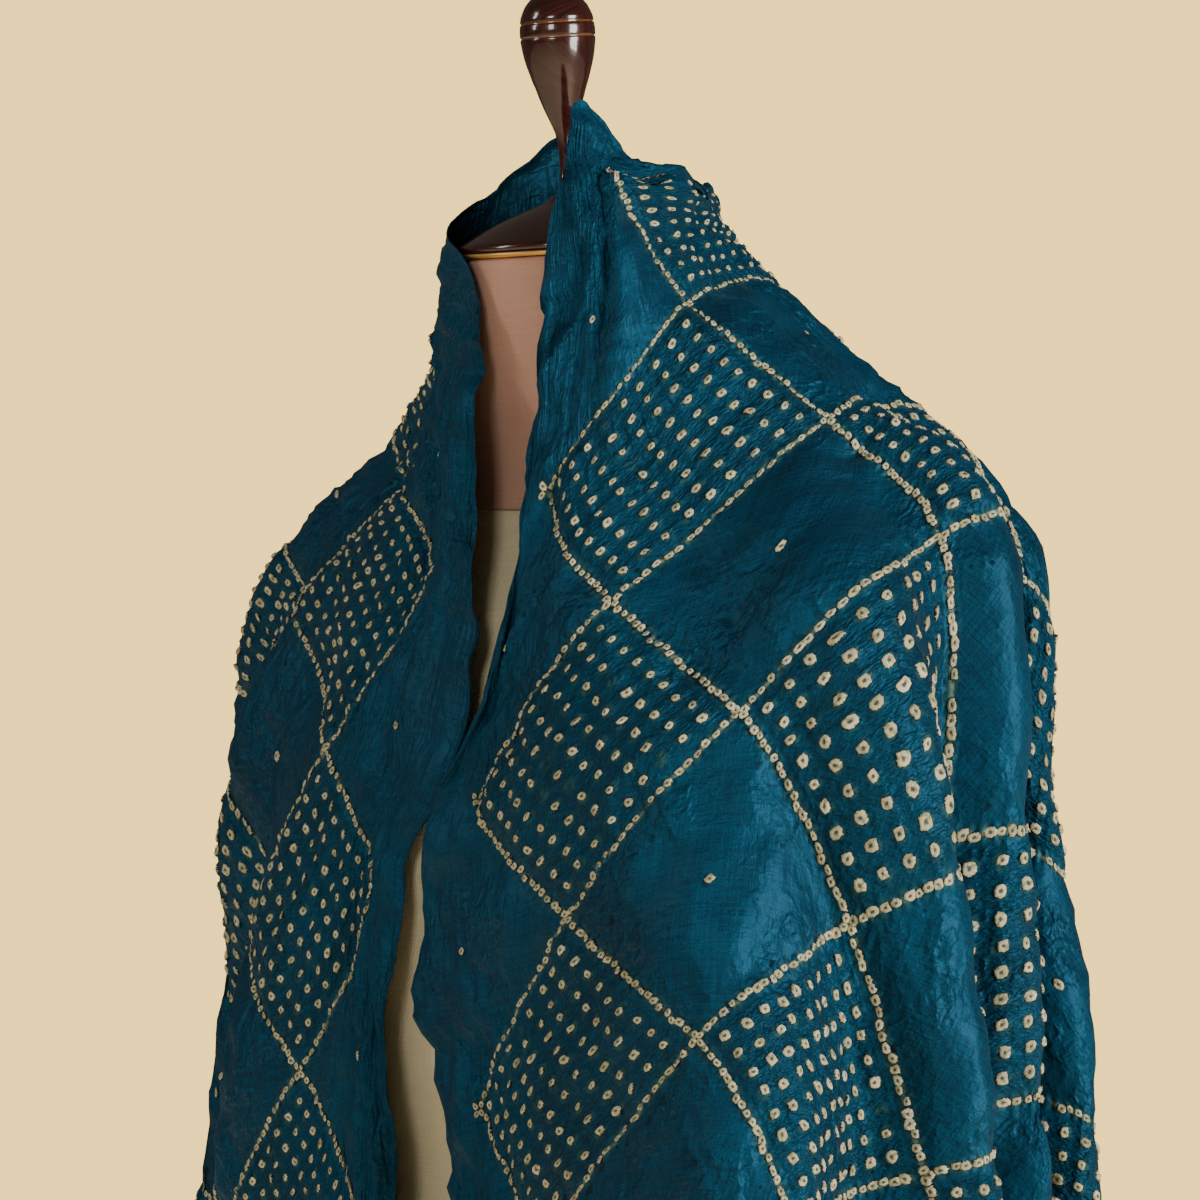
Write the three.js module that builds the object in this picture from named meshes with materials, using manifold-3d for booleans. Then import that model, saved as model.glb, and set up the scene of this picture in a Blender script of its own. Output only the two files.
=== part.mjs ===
// A teal tie-dyed silk stole draped as a shawl on a dress form stand.
// Millimetres, +Z up. The origin is the centre of the underside of the base.
// The front of the form faces -Y, and its left shoulder is on +X.
import * as THREE from 'three';
import { mergeVertices } from 'three/addons/utils/BufferGeometryUtils.js';
import Module from 'manifold-3d';

// The flat cloth. u runs along its length from the centre of the nape,
// v across it from the edge that is worn at the neck.
const clothLength = 2200;
const clothWidth = 700;
const clothLeftEnd = 1155; // u of the end that hangs on the form's left
const clothThickness = 2.4;
const columns = 80;
const rows = 26;
const clearance = 3.4; // middle of the cloth to the form
const neckClearance = 8.5; // the same beside the neck and its cap

// The dress form and its stand.
const formBottom = 720;
const neckTop = 1462;
const neckCentreY = -20;
const neckLineFront = 1340; // height of the neckline at the front
const neckLineBack = 1412; // and at the back
const gap = 0.3;
const rimHeight = 2.5;
const rimRadius = 55;
const capHeight = 24.5;
const finialHeight = 97;
const headLean = 5.5; // degrees that the top of the neck leans forward
const poleRadius = 14;
const baseRadius = 190;
const baseHeight = 34;

// Hang lines of the cloth. Each starts at u0 on the neck edge and leaves it
// at the angle phi, which is 0 straight down the back and 90 along the front
// edge. The points are where the line lies at the distances in knots.
const knots = [0, 70, 180, 290, 400, 520, 760];
const nape = {
  u0: 0,
  phi: 0,
  points: [
    [0, 52, 1474], [0, 72, 1484], [0, 106, 1410], [0, 136, 1300], [0, 148, 1192],
    [0, 154, 1075], [0, 164, 838],
  ],
};
const leftLines = [
  nape,
  {
    u0: 35,
    phi: 22,
    points: [
      [22, 30, 1476], [32, 40, 1495], [46, 50, 1461], [102, 90, 1386], [155, 107, 1288],
      [158, 102, 1166], [164, 104, 920],
    ],
  },
  {
    u0: 60,
    phi: 35,
    points: [
      [42, 0, 1494], [48, -8, 1499], [64, 16, 1457], [121, 50, 1395], [184, 66, 1327],
      [186, 58, 1190], [191, 62, 935],
    ],
  },
  {
    u0: 80,
    phi: 45,
    points: [
      [46, -34, 1508], [46, -47, 1497], [80, -26, 1434], [144, 2, 1378], [202, 12, 1319],
      [205, 10, 1158], [206, 12, 905],
    ],
  },
  {
    u0: 105,
    phi: 55,
    points: [
      [40, -56, 1530], [51, -58, 1470], [74, -58, 1385], [124, -60, 1318], [178, -66, 1250],
      [204, -44, 1116], [216, -48, 870],
    ],
  },
  {
    u0: 130,
    phi: 65,
    points: [
      [40, -66, 1508], [48, -67, 1438], [54, -84, 1340], [82, -102, 1264], [128, -108, 1180],
      [176, -108, 1086], [192, -114, 845],
    ],
  },
  {
    u0: 160,
    phi: 77,
    points: [
      [32, -72, 1472], [31, -77, 1394], [30, -90, 1292], [24, -106, 1198], [48, -112, 1102],
      [60, -114, 990], [74, -118, 752],
    ],
  },
  {
    u0: 190,
    phi: 90,
    points: [
      [28, -74, 1432], [27, -81, 1356], [17, -100, 1258], [-18, -106, 1153], [3, -108, 1046],
      [12, -110, 928], [10, -112, 690],
    ],
  },
];
const rightLines = [
  nape,
  {
    u0: 35,
    phi: 22,
    points: [
      [-38, 24, 1520], [-44, 40, 1486], [-64, 54, 1436], [-122, 80, 1378], [-180, 98, 1284],
      [-194, 112, 1160], [-204, 116, 920],
    ],
  },
  {
    u0: 60,
    phi: 35,
    points: [
      [-54, 6, 1508], [-58, 2, 1470], [-92, 2, 1402], [-163, -2, 1354], [-210, 12, 1292],
      [-206, 32, 1178], [-214, 44, 935],
    ],
  },
  {
    u0: 80,
    phi: 45,
    points: [
      [-56, -18, 1492], [-60, -28, 1450], [-84, -38, 1380], [-156, -40, 1322], [-198, -32, 1258],
      [-191, -20, 1148], [-200, -16, 905],
    ],
  },
  {
    u0: 105,
    phi: 55,
    points: [
      [-41, -52, 1473], [-52, -52, 1428], [-62, -62, 1353], [-122, -68, 1276], [-168, -62, 1182],
      [-178, -44, 1076], [-200, -50, 842],
    ],
  },
  {
    u0: 130,
    phi: 65,
    points: [
      [-16, -71, 1458], [-34, -68, 1406], [-44, -76, 1328], [-84, -98, 1230], [-124, -104, 1122],
      [-148, -102, 1012], [-168, -108, 780],
    ],
  },
  {
    u0: 160,
    phi: 77,
    points: [
      [-6, -76, 1434], [-18, -76, 1377], [-30, -84, 1296], [-52, -106, 1190], [-66, -112, 1076],
      [-84, -114, 962], [-96, -118, 725],
    ],
  },
  {
    u0: 190,
    phi: 90,
    points: [
      [-5, -76, 1408], [-6, -76, 1352], [7, -98, 1258], [-32, -106, 1148], [-38, -108, 1042],
      [-38, -110, 925], [-40, -112, 688],
    ],
  },
];

// Flutes that open below the shoulders: each is a ridge or a valley along a
// hang line at the angle phi, and height is how far it stands out.
const flutes = [
  { phi: -6, height: 1 },
  { phi: 8, height: -0.6 },
  { phi: 17, height: 1.3 },
  { phi: 24, height: -0.6 },
  { phi: 30, height: 1.3 },
  { phi: 36, height: -0.5 },
  { phi: 41.5, height: 1.2 },
  { phi: 46.5, height: -0.7 },
  { phi: 51, height: 1.3 },
  { phi: 57, height: -0.5 },
  { phi: 65, height: 0.3 },
  { phi: 78, height: -0.15 },
  { phi: 94, height: 0 },
];
const fluteStart = 260; // distance from the neck edge
const fluteGrowth = 0.085; // height of a full flute per mm beyond that
const fluteLimit = 34;

// Cross sections of the padded form: half width, front and back, and how
// square the section is (2 is an ellipse).
const sections = [
  { z: 700, half: 158, front: -100, back: 110, power: 2.2 },
  { z: 730, half: 170, front: -107, back: 120, power: 2.2 },
  { z: 800, half: 172, front: -108, back: 125, power: 2.2 },
  { z: 900, half: 150, front: -95, back: 105, power: 2.2 },
  { z: 1010, half: 120, front: -75, back: 80, power: 2.2 },
  { z: 1090, half: 132, front: -88, back: 88, power: 2.3 },
  { z: 1170, half: 148, front: -93, back: 95, power: 2.5 },
  { z: 1230, half: 164, front: -88, back: 104, power: 2.5 },
  { z: 1290, half: 182, front: -70, back: 98, power: 2.3 },
  { z: 1320, half: 187, front: -54, back: 84, power: 2.2 },
  { z: 1345, half: 166, front: -48, back: 70, power: 2.1 },
  { z: 1370, half: 134, front: -50, back: 60, power: 2 },
  { z: 1395, half: 98, front: -58, back: 48, power: 2 },
  { z: 1420, half: 68, front: -66, back: 38, power: 2 },
  { z: 1440, half: 55, front: -71, back: 33, power: 2 },
  { z: 1480, half: 52, front: -72, back: 32, power: 2 },
];
const formRings = [
  720, 732, 760, 800, 850, 900, 955, 1010, 1050, 1090, 1130, 1170, 1200, 1230, 1260, 1290, 1306,
  1320, 1333, 1345, 1358, 1370, 1383, 1395, 1408, 1420, 1432, 1445, neckTop + 18,
];
const formSides = 44;

// Half profiles of the turned wood, from the axis at the bottom to the axis
// at the top: radius and height above the piece's own foot.
const capProfile = [
  [0, 0], [53.4, 0], [55, 1.6], [53, 4], [43.5, 9], [36, 12.5], [22, 18], [12, 21.3],
  [8, capHeight], [0, capHeight],
];
const finialProfile = [
  [0, 0], [5.5, 0], [3.6, 6], [3, 14], [3.1, 21], [4.2, 29], [6.5, 35], [9, 41], [12, 50],
  [14.4, 57], [16.4, 64], [17.6, 71], [17.8, 73], [17.1, 74], [17.9, 75], [17.7, 79.5],
  [16.9, 80.5], [17.5, 81.5], [16.2, 86], [13.2, 91], [8.5, 95], [4, 96.7], [0, finialHeight],
];
const baseProfile = [
  [0, 0], [baseRadius - 6, 0], [baseRadius, 5], [baseRadius, 14], [baseRadius - 9, 19],
  [baseRadius - 26, 23], [60, 28], [34, 30], [26, baseHeight], [0, baseHeight],
];

// A smooth curve through rows of numbers, at the place s counted in rows.
function blend(list, s) {
  const last = list.length - 1;
  const i = Math.min(Math.max(Math.floor(s), 0), last - 1);
  const f = s - i;
  const p1 = list[i];
  const p2 = list[i + 1];
  return p1.map((a, k) => {
    const b = p2[k];
    const before = i > 0 ? list[i - 1][k] : 2 * a - b;
    const after = i < last - 1 ? list[i + 2][k] : 2 * b - a;
    const cubic = 3 * a - 3 * b + after - before;
    const square = 2 * before - 5 * a + 4 * b - after;
    return 0.5 * (2 * a + f * (b - before + f * (square + f * cubic)));
  });
}

// The same through the knots of one hang line, and straight on past the last.
function alongLine(points, t) {
  let k = 0;
  while (k < knots.length - 2 && t > knots[k + 1]) k += 1;
  const slope = (j) => {
    const span = knots[j + 1] - knots[j];
    return points[j].map((a, n) => (points[j + 1][n] - a) / span);
  };
  const here = slope(k);
  const before = k > 0 ? slope(k - 1) : here;
  const after = k < knots.length - 2 ? slope(k + 1) : here;
  const span = knots[k + 1] - knots[k];
  const f = (t - knots[k]) / span;
  return points[k].map((a, n) => {
    const b = points[k + 1][n];
    const startSlope = (before[n] + here[n]) * 0.5 * span;
    const endSlope = (here[n] + after[n]) * 0.5 * span;
    if (f > 1) return b + (f - 1) * endSlope;
    const g = f * f * (3 - 2 * f);
    return a + (b - a) * g + f * (1 - f) * ((1 - f) * startSlope - f * endSlope);
  });
}

// The hang line that passes through a flat point, as a place in the list.
function lineAt(lines, u, v) {
  const fan = lines.map((line) => [line.u0, line.phi]);
  let low = 0;
  let high = fan.length - 1;
  for (let n = 0; n < 36; n += 1) {
    const middle = (low + high) / 2;
    const [u0, phi] = blend(fan, middle);
    const angle = THREE.MathUtils.degToRad(phi);
    if ((u - u0) * Math.cos(angle) > v * Math.sin(angle)) low = middle;
    else high = middle;
  }
  const [u0, phi] = blend(fan, low);
  return { place: low, phi, distance: Math.hypot(u - u0, v) };
}

// Where a flat point of the cloth hangs, before its flutes.
function hang(u, v) {
  const lines = u < 0 ? rightLines : leftLines;
  const { place, phi, distance } = lineAt(lines, Math.abs(u), v);
  const points = knots.map((_, k) => blend(lines.map((line) => line.points[k]), place));
  return { point: new THREE.Vector3(...alongLine(points, distance)), phi, distance };
}

function normalAt(place, u, v) {
  const step = 4;
  const alongU = place(u + step, v).sub(place(u - step, v));
  const alongV = place(u, v + step).sub(place(u, v - step));
  return alongU.cross(alongV).normalize();
}

function fluteWave(phi) {
  let k = 0;
  while (k < flutes.length - 2 && phi > flutes[k + 1].phi) k += 1;
  const a = flutes[k];
  const b = flutes[k + 1];
  const f = THREE.MathUtils.clamp((phi - a.phi) / (b.phi - a.phi), 0, 1);
  return a.height + (b.height - a.height) * (0.5 - 0.5 * Math.cos(Math.PI * f));
}

function sectionAt(z) {
  const top = sections.length - 1;
  let k = 0;
  while (k < top - 1 && z > sections[k + 1].z) k += 1;
  const f = THREE.MathUtils.clamp((z - sections[k].z) / (sections[k + 1].z - sections[k].z), 0, 1);
  const list = sections.map((s) => [s.half, s.front, s.back, s.power]);
  const [half, front, back, power] = blend(list, k + f);
  return { half, front, back, power };
}

// How far out a horizontal direction meets the form, from its axis.
function formReach(z, angle) {
  const { half, front, back, power } = sectionAt(z);
  const middle = (front + back) / 2;
  const deep = (back - front) / 2;
  const c = Math.abs(Math.cos(angle) / half) ** power;
  const s = Math.abs(Math.sin(angle) / deep) ** power;
  return { reach: (c + s) ** (-1 / power), middle };
}

// Moves a point of the cloth out of the form, sideways or up, whichever is less.
function clearOfForm(p) {
  if (p.z > neckTop + 32 || p.z < formBottom - 12) return p;
  const risen = THREE.MathUtils.smoothstep(p.z, 1380, 1445);
  const wanted = THREE.MathUtils.lerp(clearance, neckClearance, risen);
  for (let n = 0; n < 12; n += 1) {
    const { middle } = formReach(p.z, 0);
    const angle = Math.atan2(p.y - middle, p.x);
    const near = Math.hypot(p.x, p.y - middle);
    const { reach } = formReach(p.z, angle);
    const above = formReach(p.z + 4, angle);
    const lean = (reach - above.reach) / 4;
    const outward = Math.hypot(1, lean);
    const lack = wanted * outward - (near - reach);
    if (lack < 0.01) break;
    const push = lack / (outward * outward);
    p.x += push * Math.cos(angle);
    p.y += push * Math.sin(angle);
    p.z += push * lean;
  }
  return p;
}

function fluted(u, v) {
  const { point, phi, distance } = hang(u, v);
  const rise = Math.min(Math.max(distance - fluteStart, 0) * fluteGrowth, fluteLimit);
  const outward = normalAt((a, b) => hang(a, b).point, u, v);
  return point.addScaledVector(outward, rise * fluteWave(phi));
}

function clothPoint(u, v) {
  return clearOfForm(fluted(u, v));
}

// Columns of the mesh lie closer together near the neck.
function spreadColumns(f) {
  return clothLeftEnd - clothLength + clothLength * (f + 0.07 * Math.sin(2 * Math.PI * f));
}

// Splits each cell of the slab along its hang line: the diagonals lean one
// way on the left of the nape, and the other way on the right.
function turnDiagonals(geometry) {
  const { index } = geometry;
  const { position } = geometry.attributes;
  for (let i = 0; i < index.count; i += 6) {
    const [a, b, d] = [index.getX(i), index.getX(i + 1), index.getX(i + 2)];
    const c = index.getX(i + 4);
    const alongU = position.getX(c) - position.getX(a);
    const alongV = position.getY(c) - position.getY(a);
    const middle = spreadColumns((position.getX(a) + position.getX(c)) / 2 + 0.5);
    if (alongU * alongV * middle > 0) [a, b, c, a, c, d].forEach((n, k) => index.setX(i + k, n));
  }
}

// A thin flat slab of many cells, each corner carried to where it hangs.
function makeCloth() {
  const slab = new THREE.BoxGeometry(1, 1, 1, columns, rows, 1);
  slab.deleteAttribute('normal');
  slab.deleteAttribute('uv');
  const geometry = mergeVertices(slab, 1e-4);
  turnDiagonals(geometry);
  const position = geometry.attributes.position;
  for (let i = 0; i < position.count; i += 1) {
    const u = spreadColumns(position.getX(i) + 0.5);
    const v = (position.getY(i) + 0.5) * clothWidth;
    const side = position.getZ(i) > 0 ? 0.5 : -0.5;
    const p = clothPoint(u, v);
    const outward = normalAt(clothPoint, u, v);
    p.addScaledVector(outward, side * clothThickness);
    position.setXYZ(i, p.x, p.y, p.z);
  }
  geometry.computeVertexNormals();
  return geometry;
}

// A lathe turned about +Z.
function turned(profile, sides) {
  const outline = profile.map(([r, z]) => new THREE.Vector2(r, z));
  const geometry = new THREE.LatheGeometry(outline, sides);
  geometry.rotateX(Math.PI / 2);
  return geometry;
}

function toSolid(wasm, source) {
  const bare = source.clone();
  bare.deleteAttribute('normal');
  bare.deleteAttribute('uv');
  const merged = mergeVertices(bare, 1e-4);
  const vertProperties = new Float32Array(merged.attributes.position.array);
  const triVerts = new Uint32Array(merged.index.array);
  return new wasm.Manifold(new wasm.Mesh({ numProp: 3, vertProperties, triVerts }));
}

function toGeometry(solid) {
  const mesh = solid.getMesh();
  const geometry = new THREE.BufferGeometry();
  geometry.setAttribute('position', new THREE.BufferAttribute(mesh.vertProperties, 3));
  geometry.setIndex(new THREE.BufferAttribute(mesh.triVerts, 1));
  geometry.computeVertexNormals();
  return geometry;
}

// The whole padded form, neck and all, as one lathe pressed to its sections.
function makeForm() {
  const first = formRings[0];
  const last = formRings[formRings.length - 1];
  const profile = [[0, first], ...formRings.map((z) => [100, z]), [0, last]];
  const lathe = turned(profile, formSides);
  lathe.deleteAttribute('normal');
  lathe.deleteAttribute('uv');
  const geometry = mergeVertices(lathe, 1e-3);
  const position = geometry.attributes.position;
  for (let i = 0; i < position.count; i += 1) {
    const angle = Math.atan2(position.getY(i), position.getX(i));
    const share = Math.hypot(position.getX(i), position.getY(i)) / 100;
    const z = position.getZ(i);
    const { reach, middle } = formReach(z, angle);
    const x = share * reach * Math.cos(angle);
    const y = middle + share * reach * Math.sin(angle);
    position.setXYZ(i, x, y, z);
  }
  return geometry;
}

// A big slab whose lower face is the plane of the neckline, raised by lift.
function aboveNeckLine(lift) {
  const size = 600;
  const slab = new THREE.BoxGeometry(size, size, size);
  slab.translate(0, 0, size / 2);
  const front = formReach(neckLineFront, -Math.PI / 2);
  const back = formReach(neckLineBack, Math.PI / 2);
  const frontY = front.middle - front.reach;
  const backY = back.middle + back.reach;
  slab.rotateX(Math.atan2(neckLineBack - neckLineFront, backY - frontY));
  const middleZ = (neckLineFront + neckLineBack) / 2;
  slab.translate(0, (frontY + backY) / 2, middleZ + lift);
  return slab;
}

const teal = new THREE.MeshStandardMaterial({ color: 0x0e4a63, roughness: 0.5, metalness: 0 });
const cream = new THREE.MeshStandardMaterial({ color: 0xcfc09a, roughness: 0.9, metalness: 0 });
const tan = new THREE.MeshStandardMaterial({ color: 0xb58f7c, roughness: 0.85, metalness: 0 });
const wood = new THREE.MeshStandardMaterial({ color: 0x3a1512, roughness: 0.2, metalness: 0 });
const brass = new THREE.MeshStandardMaterial({ color: 0xb07c2c, roughness: 0.35, metalness: 1 });

const wasm = await Module();
wasm.setup();

const group = new THREE.Group();
function add(name, geometry, material, z = 0, parent = group) {
  const mesh = new THREE.Mesh(geometry, material);
  mesh.name = name;
  mesh.position.z = z;
  parent.add(mesh);
}

const lean = THREE.MathUtils.degToRad(headLean);
const endCut = new THREE.BoxGeometry(400, 400, 400);
endCut.translate(0, 0, 200);
endCut.rotateX(lean);
endCut.translate(0, neckCentreY, neckTop);
const form = toSolid(wasm, makeForm()).subtract(toSolid(wasm, endCut));
add('cloth', makeCloth(), teal);
add('form_torso', toGeometry(form.subtract(toSolid(wasm, aboveNeckLine(0)))), cream);
add('form_neck', toGeometry(form.intersect(toSolid(wasm, aboveNeckLine(gap)))), tan);

// The turned cap and finial stand square on the sloping end of the neck.
const head = new THREE.Group();
head.position.set(0, neckCentreY, neckTop);
head.rotation.x = lean;
group.add(head);
const rimProfile = [[0, 0], [rimRadius - 0.8, 0], [rimRadius, 1], [rimRadius, 1.5],
  [rimRadius - 0.8, rimHeight], [0, rimHeight]];
add('neck_rim', turned(rimProfile, 40), brass, gap, head);
add('neck_cap', turned(capProfile, 40), wood, rimHeight + 2 * gap, head);
add('finial', turned(finialProfile, 28), wood, rimHeight + capHeight + 3 * gap, head);

add('base', turned(baseProfile, 48), wood);
const poleHeight = formBottom - baseHeight - 2 * gap;
const pole = new THREE.CylinderGeometry(poleRadius, poleRadius, poleHeight, 28);
pole.rotateX(Math.PI / 2);
add('pole', pole, wood, baseHeight + gap + poleHeight / 2);

export default group;
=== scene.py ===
import math

import bpy
import numpy as np
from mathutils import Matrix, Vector


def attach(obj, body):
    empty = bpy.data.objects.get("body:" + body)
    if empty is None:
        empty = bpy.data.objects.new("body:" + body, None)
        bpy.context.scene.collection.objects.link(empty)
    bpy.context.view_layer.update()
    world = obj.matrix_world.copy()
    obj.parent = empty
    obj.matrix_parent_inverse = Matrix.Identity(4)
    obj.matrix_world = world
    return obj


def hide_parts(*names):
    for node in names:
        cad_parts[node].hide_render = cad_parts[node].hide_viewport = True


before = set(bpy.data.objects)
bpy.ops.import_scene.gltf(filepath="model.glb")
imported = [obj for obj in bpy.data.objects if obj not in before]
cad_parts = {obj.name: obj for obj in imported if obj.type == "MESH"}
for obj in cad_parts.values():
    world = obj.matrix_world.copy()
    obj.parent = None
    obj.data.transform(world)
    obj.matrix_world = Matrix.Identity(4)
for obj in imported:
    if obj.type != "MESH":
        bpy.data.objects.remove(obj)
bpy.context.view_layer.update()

view = {
    "azimuth": 42,  # degrees round from the front, towards the form's left
    "distance": 2400,
    "targetHeight": 1298,
    "lens": 151.2,
}

# The camera comes first, and looks level at the shoulder.
turn = math.radians(view["azimuth"])
eye = np.array([math.sin(turn), -math.cos(turn), 0]) * view["distance"] / 1000
camera = bpy.data.objects.new("camera", bpy.data.cameras.new("camera"))
camera.data.lens = view["lens"]
camera.data.sensor_width = 36
camera.data.sensor_fit = "AUTO"
camera.location = (eye[0], eye[1], view["targetHeight"] / 1000)
camera.rotation_euler = (math.pi / 2, 0, turn)
bpy.context.scene.collection.objects.link(camera)
bpy.context.scene.camera = camera


# The form's sections: half width, front, back and squareness at each height.
form = {
    "bottom": 720,
    "neckTop": 1462,
    "neckCentre": -20,
    "neckLineFront": 1340,
    "neckLineBack": 1412,
    "gap": 0.3,
    "lean": 5.5,  # degrees that the top of the neck leans forward
    "sections": [
        [700, 158, -100, 110, 2.2],
        [730, 170, -107, 120, 2.2],
        [800, 172, -108, 125, 2.2],
        [900, 150, -95, 105, 2.2],
        [1010, 120, -75, 80, 2.2],
        [1090, 132, -88, 88, 2.3],
        [1170, 148, -93, 95, 2.5],
        [1230, 164, -88, 104, 2.5],
        [1290, 182, -70, 98, 2.3],
        [1320, 187, -54, 84, 2.2],
        [1345, 166, -48, 70, 2.1],
        [1370, 134, -50, 60, 2],
        [1395, 98, -58, 48, 2],
        [1420, 68, -66, 38, 2],
        [1440, 55, -71, 33, 2],
        [1480, 52, -72, 32, 2],
    ],
}

# The stole, flat and hung. u runs along it from the nape, v across it from
# the edge at the neck. A hang line leaves that edge at u0 and the angle phi,
# and its points lie at the distances in knots.
drape = {
    "length": 2200,
    "width": 700,
    "leftEnd": 1155,
    "thickness": 0.8,
    "columns": 360,
    "rows": 122,
    "columnCrowding": 0.075,  # how much closer the columns lie over the shoulders
    "rowCrowding": 1.12,  # and the rows near the neck
    "clearance": 2.6,
    "neckClearance": 7.5,
    "neckClearanceHeights": (1380, 1445),  # where the first goes over to the second
    "fluteStart": 260,
    "fluteGrowth": 0.085,
    "fluteLimit": 34,
    "knots": [0, 70, 180, 290, 400, 520, 760],
    "left": [
        (0, 0, [[0, 52, 1474], [0, 72, 1484], [0, 106, 1410], [0, 136, 1300],
                [0, 148, 1192], [0, 154, 1075], [0, 164, 838]]),
        (35, 22, [[22, 30, 1476], [32, 40, 1495], [46, 50, 1461], [102, 90, 1386],
                  [155, 107, 1288], [158, 102, 1166], [164, 104, 920]]),
        (60, 35, [[42, 0, 1494], [48, -8, 1499], [64, 16, 1457], [121, 50, 1395],
                  [184, 66, 1327], [186, 58, 1190], [191, 62, 935]]),
        (80, 45, [[46, -34, 1508], [46, -47, 1497], [80, -26, 1434], [144, 2, 1378],
                  [202, 12, 1319], [205, 10, 1158], [206, 12, 905]]),
        (105, 55, [[40, -56, 1530], [51, -58, 1470], [74, -58, 1385], [124, -60, 1318],
                   [178, -66, 1250], [204, -44, 1116], [216, -48, 870]]),
        (130, 65, [[40, -66, 1508], [48, -67, 1438], [54, -84, 1340], [82, -102, 1264],
                   [128, -108, 1180], [176, -108, 1086], [192, -114, 845]]),
        (160, 77, [[32, -72, 1472], [31, -77, 1394], [30, -90, 1292], [24, -106, 1198],
                   [48, -112, 1102], [60, -114, 990], [74, -118, 752]]),
        (190, 90, [[28, -74, 1432], [27, -81, 1356], [17, -100, 1258], [-18, -106, 1153],
                   [3, -108, 1046], [12, -110, 928], [10, -112, 690]]),
    ],
    "right": [
        (0, 0, [[0, 52, 1474], [0, 72, 1484], [0, 106, 1410], [0, 136, 1300],
                [0, 148, 1192], [0, 154, 1075], [0, 164, 838]]),
        (35, 22, [[-38, 24, 1520], [-44, 40, 1486], [-64, 54, 1436], [-122, 80, 1378],
                  [-180, 98, 1284], [-194, 112, 1160], [-204, 116, 920]]),
        (60, 35, [[-54, 6, 1508], [-58, 2, 1470], [-92, 2, 1402], [-163, -2, 1354],
                  [-210, 12, 1292], [-206, 32, 1178], [-214, 44, 935]]),
        (80, 45, [[-56, -18, 1492], [-60, -28, 1450], [-84, -38, 1380], [-156, -40, 1322],
                  [-198, -32, 1258], [-191, -20, 1148], [-200, -16, 905]]),
        (105, 55, [[-41, -52, 1473], [-52, -52, 1428], [-62, -62, 1353], [-122, -68, 1276],
                   [-168, -62, 1182], [-178, -44, 1076], [-200, -50, 842]]),
        (130, 65, [[-16, -71, 1458], [-34, -68, 1406], [-44, -76, 1328], [-84, -98, 1230],
                   [-124, -104, 1122], [-148, -102, 1012], [-168, -108, 780]]),
        (160, 77, [[-6, -76, 1434], [-18, -76, 1377], [-30, -84, 1296], [-52, -106, 1190],
                   [-66, -112, 1076], [-84, -114, 962], [-96, -118, 725]]),
        (190, 90, [[-5, -76, 1408], [-6, -76, 1352], [7, -98, 1258], [-32, -106, 1148],
                   [-38, -108, 1042], [-38, -110, 925], [-40, -112, 688]]),
    ],
    # How far each front edge wanders to the left, at heights from high to low,
    # past edgeFrom along the stole and over edgeWidth across it.
    "edgeFrom": 190,
    "edgeWidth": (4, 46),
    "leftEdge": [(1300, 3), (1252, 2), (1230, -2), (1205, -7), (1168, -3), (1138, 2),
                 (1106, -10), (1090, 2), (1060, 0)],
    "rightEdge": [(1290, -2), (1252, -1), (1232, 4), (1208, 3), (1178, -7), (1155, 4),
                  (1128, 4), (1102, -2), (1050, 0)],
    # The angle of each ridge or valley, and how far it stands out.
    "flutes": [(-6, 1), (8, -0.6), (17, 1.3), (24, -0.6), (30, 1.3), (36, -0.5),
               (41.5, 1.2), (46.5, -0.7), (51, 1.3), (57, -0.5), (65, 0.3),
               (78, -0.15), (94, 0)],
}


def between(rows, s):
    # A smooth curve through rows of numbers, at places s counted in rows.
    last = len(rows) - 1
    i = np.clip(np.floor(s).astype(int), 0, last - 1)
    spread = (len(s),) + (1,) * (rows.ndim - 1)
    f = (s - i).reshape(spread)
    a, b = rows[i], rows[i + 1]
    before = np.where((i > 0).reshape(spread), rows[np.maximum(i - 1, 0)], 2 * a - b)
    after = np.where((i < last - 1).reshape(spread), rows[np.minimum(i + 2, last)], 2 * b - a)
    cubic = 3 * a - 3 * b + after - before
    square = 2 * before - 5 * a + 4 * b - after
    return 0.5 * (2 * a + f * (b - before + f * (square + f * cubic)))


def alongLine(points, distance):
    # The same through each hang line's own points, and straight past the last.
    knots = np.array(drape["knots"], float)
    last = len(knots) - 2
    k = np.clip(np.searchsorted(knots, distance) - 1, 0, last)
    each = np.arange(len(distance))
    slopes = np.diff(points, axis=1) / np.diff(knots)[None, :, None]
    here = slopes[each, k]
    startSlope = (slopes[each, np.maximum(k - 1, 0)] + here) / 2
    endSlope = (slopes[each, np.minimum(k + 1, last)] + here) / 2
    span = (knots[k + 1] - knots[k])[:, None]
    f = ((distance - knots[k])[:, None]) / span
    a, b = points[each, k], points[each, k + 1]
    g = f * f * (3 - 2 * f)
    inside = a + (b - a) * g + f * (1 - f) * span * ((1 - f) * startSlope - f * endSlope)
    return np.where(f > 1, b + (f - 1) * span * endSlope, inside)


def hang(u, v):
    # Where flat points of the stole hang, with their hang line and distance.
    place, phi, distance = np.zeros((len(u), 3)), np.zeros(len(u)), np.zeros(len(u))
    for name, chosen in (("left", u >= 0), ("right", u < 0)):
        fan = np.array([[u0, angle] for u0, angle, points in drape[name]], float)
        table = np.array([points for u0, angle, points in drape[name]], float)
        along, across = np.abs(u[chosen]), v[chosen]
        low = np.zeros(len(along))
        high = np.full(len(along), len(fan) - 1.0)
        for n in range(36):
            middle = (low + high) / 2
            u0, angle = between(fan, middle).T
            angle = np.radians(angle)
            further = (along - u0) * np.cos(angle) > across * np.sin(angle)
            low, high = np.where(further, middle, low), np.where(further, high, middle)
        u0, angle = between(fan, low).T
        distance[chosen] = np.hypot(along - u0, across)
        phi[chosen] = angle
        place[chosen] = alongLine(between(table, low), distance[chosen])
    return place, phi, distance


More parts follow.
